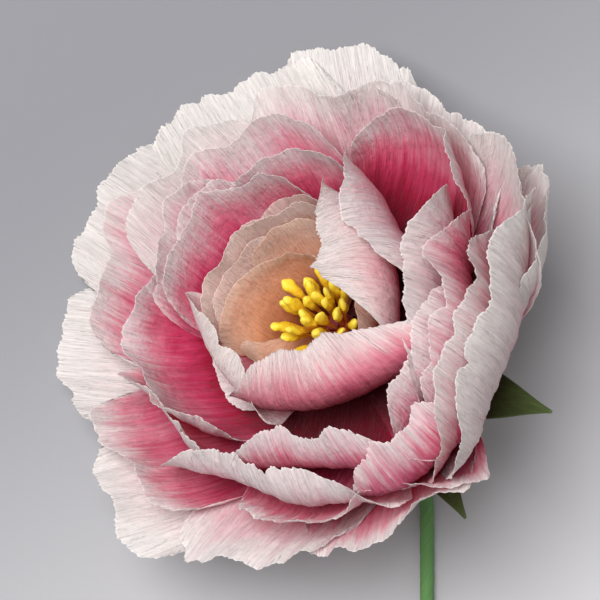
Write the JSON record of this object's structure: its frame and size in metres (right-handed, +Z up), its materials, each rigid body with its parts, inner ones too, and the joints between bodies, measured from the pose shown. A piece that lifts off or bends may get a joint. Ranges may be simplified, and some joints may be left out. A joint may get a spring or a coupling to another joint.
{
  "type": "crepe paper peony",
  "caption": "Large open peony of dyed crepe paper on a wrapped wire stem, lying on its side petals with the head turned up.",
  "frame": {"origin": "middle of the bounding box, on the surface that the flower lies on", "axes": "+Y along the stem towards the head, +Z up out of the surface, +X to the right in the top view"},
  "size_m": [0.1496, 0.3362, 0.1101],
  "materials": {
    "heart_paper": "matte crinkled crepe paper, peach",
    "inner_paper": "matte crinkled crepe paper, pink fading to cream",
    "middle_paper": "matte crinkled crepe paper, crimson fading to white",
    "outer_paper": "matte crinkled crepe paper, pale pink to white",
    "sepal_paper": "matte dark green crepe paper",
    "stamen_paper": "matte yellow cut paper",
    "core_paper": "matte wound paper",
    "stem_tape": "matte green wrapped tape",
    "wire": "drawn steel"
  },
  "bodies": {
    "root": {"flower_core": "core_paper", "petal_a1": "heart_paper", "petal_a2": "heart_paper", "petal_a3": "heart_paper", "petal_a4": "heart_paper", "petal_a5": "heart_paper", "petal_a6": "heart_paper", "petal_b1": "inner_paper", "petal_b2": "inner_paper", "petal_b3": "inner_paper", "petal_b4": "inner_paper", "petal_b5": "inner_paper", "petal_b6": "inner_paper", "petal_c1": "middle_paper", "petal_c2": "middle_paper", "petal_c3": "middle_paper", "petal_c4": "middle_paper", "petal_c5": "middle_paper", "petal_c6": "middle_paper", "petal_c7": "middle_paper", "petal_d1": "middle_paper", "petal_d2": "middle_paper", "petal_d3": "middle_paper", "petal_d4": "middle_paper", "petal_d5": "middle_paper", "petal_d6": "middle_paper", "petal_d7": "middle_paper", "petal_d8": "middle_paper", "petal_e1": "outer_paper", "petal_e2": "outer_paper", "petal_e3": "outer_paper", "petal_e4": "outer_paper", "petal_e5": "outer_paper", "petal_e6": "outer_paper", "petal_e7": "outer_paper", "petal_e8": "outer_paper", "petal_e9": "outer_paper", "petal_f1": "outer_paper", "petal_f10": "outer_paper", "petal_f2": "outer_paper", "petal_f3": "outer_paper", "petal_f4": "outer_paper", "petal_f5": "outer_paper", "petal_f6": "outer_paper", "petal_f7": "outer_paper", "petal_f8": "outer_paper", "petal_f9": "outer_paper", "sepal_1": "sepal_paper", "sepal_2": "sepal_paper", "sepal_3": "sepal_paper", "sepal_4": "sepal_paper", "sepal_5": "sepal_paper", "stamens_inner": "stamen_paper", "stamens_outer": "stamen_paper", "stem_wire": "wire", "stem_wrap": "stem_tape"}
  },
  "joints": []
}
